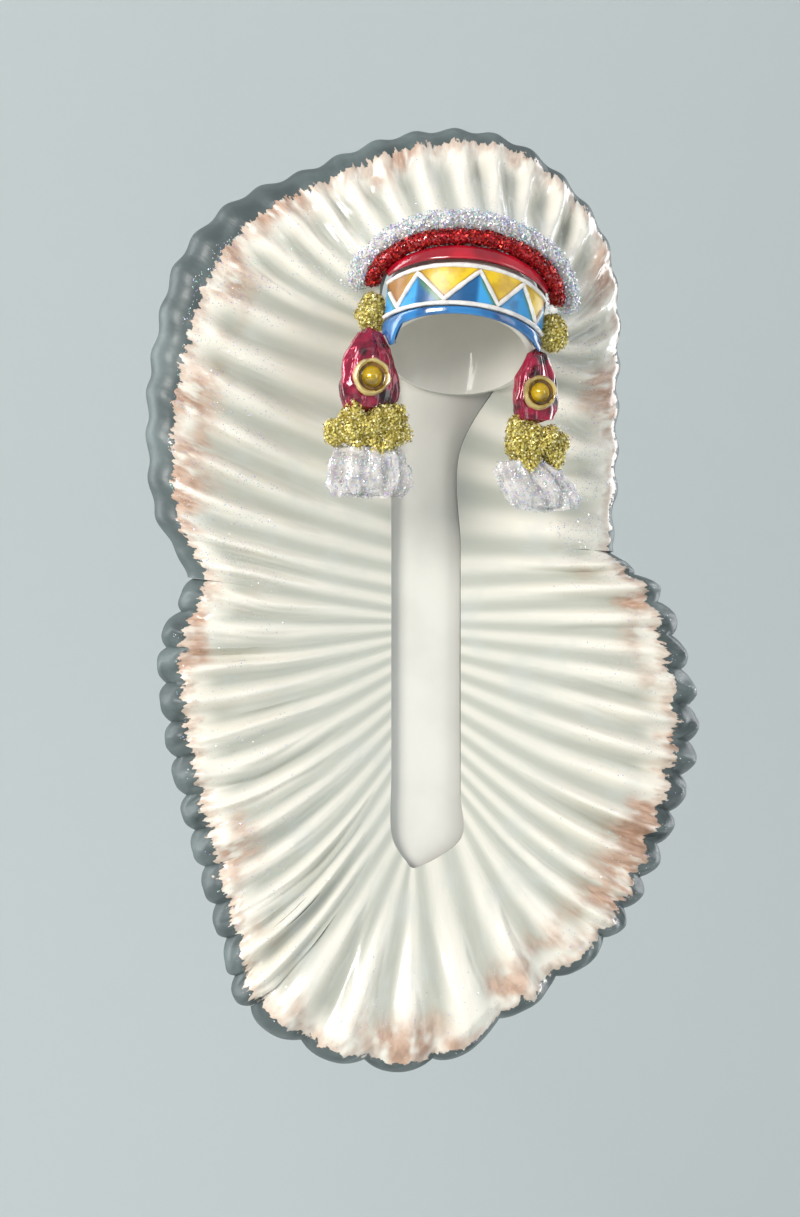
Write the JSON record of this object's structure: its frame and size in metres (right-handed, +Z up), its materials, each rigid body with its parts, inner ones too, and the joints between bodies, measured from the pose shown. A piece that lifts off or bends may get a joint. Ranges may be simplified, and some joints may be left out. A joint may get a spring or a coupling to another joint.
{
  "type": "feathered headdress",
  "caption": "Miniature feathered headdress with an open cap, beaded-look brow band, glitter cord, side drapes with round bosses and a long double row of trailer feathers.",
  "frame": {"origin": "middle of the head opening, level with the front of the cap's rim: where the head goes in", "axes": "+Z up, -Y the way the wearer faces, +X at the viewer's right as seen from the front"},
  "size_m": [0.0845, 0.0268, 0.14],
  "materials": {
    "pearl_white": "satin pearl paint on glass, with pink-brown brushed tips and black lacquer behind",
    "plain_white": "plain satin",
    "satin_white": "satin with fine white glitter",
    "blue_lacquer": "glossy clear lacquer",
    "amber_lacquer": "glossy clear lacquer with painted white lines and blue triangles",
    "red_lacquer": "glossy clear lacquer",
    "red_glitter": "coarse glitter",
    "white_glitter": "coarse iridescent glitter",
    "magenta_lacquer": "glossy clear lacquer",
    "gold_lacquer": "glossy gold lacquer with a pale rim",
    "gold_glitter": "coarse gold glitter"
  },
  "bodies": {
    "root": {"blue_edge_band": "blue_lacquer", "brow_band": "amber_lacquer", "concho_left": "gold_lacquer", "concho_right": "gold_lacquer", "crown_feather_01": "pearl_white", "crown_feather_02": "pearl_white", "crown_feather_03": "pearl_white", "crown_feather_04": "pearl_white", "crown_feather_05": "pearl_white", "crown_feather_06": "pearl_white", "crown_feather_07": "pearl_white", "crown_feather_08": "pearl_white", "crown_feather_09": "pearl_white", "crown_feather_10": "pearl_white", "crown_feather_11": "pearl_white", "crown_feather_12": "pearl_white", "crown_feather_13": "pearl_white", "crown_feather_14": "pearl_white", "crown_feather_15": "pearl_white", "crown_feather_16": "pearl_white", "crown_feather_17": "pearl_white", "crown_feather_18": "pearl_white", "crown_feather_19": "pearl_white", "crown_feather_20": "pearl_white", "crown_feather_21": "pearl_white", "crown_feather_22": "pearl_white", "crown_feather_23": "pearl_white", "crown_feather_24": "pearl_white", "crown_feather_25": "pearl_white", "crown_feather_26": "pearl_white", "crown_feather_27": "pearl_white", "crown_feather_28": "pearl_white", "drop_tuft_left": "gold_glitter", "drop_tuft_right": "gold_glitter", "ermine_drop_left": "satin_white", "ermine_drop_right": "satin_white", "red_band": "red_lacquer", "red_glitter_cord": "red_glitter", "side_drape_left": "magenta_lacquer", "side_drape_right": "magenta_lacquer", "skull_cap": "plain_white", "temple_tuft_left": "gold_glitter", "temple_tuft_right": "gold_glitter", "trailer_backing": "plain_white", "trailer_end": "pearl_white", "trailer_feathers_left_01": "pearl_white", "trailer_feathers_left_02": "pearl_white", "trailer_feathers_left_03": "pearl_white", "trailer_feathers_left_04": "pearl_white", "trailer_feathers_left_05": "pearl_white", "trailer_feathers_left_06": "pearl_white", "trailer_feathers_right_01": "pearl_white", "trailer_feathers_right_02": "pearl_white", "trailer_feathers_right_03": "pearl_white", "trailer_feathers_right_04": "pearl_white", "trailer_feathers_right_05": "pearl_white", "trailer_feathers_right_06": "pearl_white", "white_glitter_roll": "white_glitter"}
  },
  "joints": []
}
